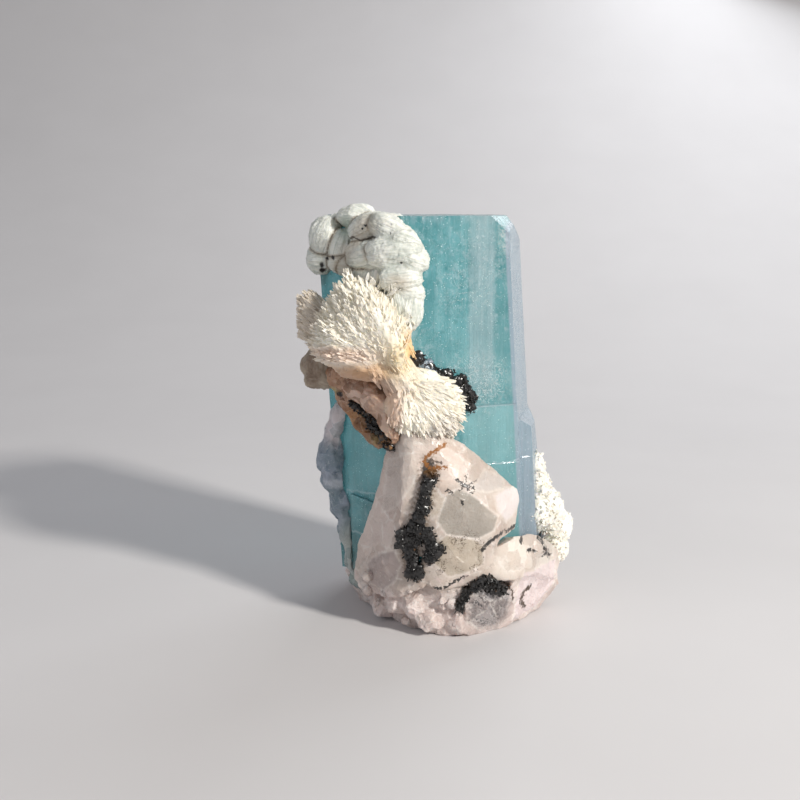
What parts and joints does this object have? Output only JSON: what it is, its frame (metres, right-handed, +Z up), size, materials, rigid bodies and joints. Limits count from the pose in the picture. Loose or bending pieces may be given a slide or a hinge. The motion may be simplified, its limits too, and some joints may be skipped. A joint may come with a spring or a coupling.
{
  "type": "aquamarine crystal specimen",
  "caption": "Blue-green hexagonal aquamarine prism on pinkish-white quartz matrix, with white bladed albite and black tourmaline crusts.",
  "frame": {"origin": "centre of the bounding box at the flat underside", "axes": "+Z up along the prism, -Y towards the side with the bladed sheaf and the faceted matrix, +X towards the side crystal"},
  "size_m": [0.065, 0.0611, 0.0947],
  "materials": {
    "aquamarine": "clear, glossy",
    "white_albite": "satin",
    "grey_albite": "satin",
    "cream_albite": "pearly",
    "feldspar": "satin",
    "tourmaline": "glossy",
    "quartz": "glassy",
    "smoky_quartz": "glassy"
  },
  "bodies": {
    "root": {"aquamarine_crystal": "aquamarine", "albite_crown": "white_albite", "albite_nodule": "grey_albite", "cleavelandite_sheaf": "cream_albite", "feldspar_wedge": "feldspar", "schorl_upper": "tourmaline", "schorl_lower": "tourmaline", "quartz_matrix": "quartz", "quartz_flank": "smoky_quartz", "albite_fan_right": "white_albite", "schorl_vein": "tourmaline", "schorl_foot": "tourmaline"}
  },
  "joints": []
}
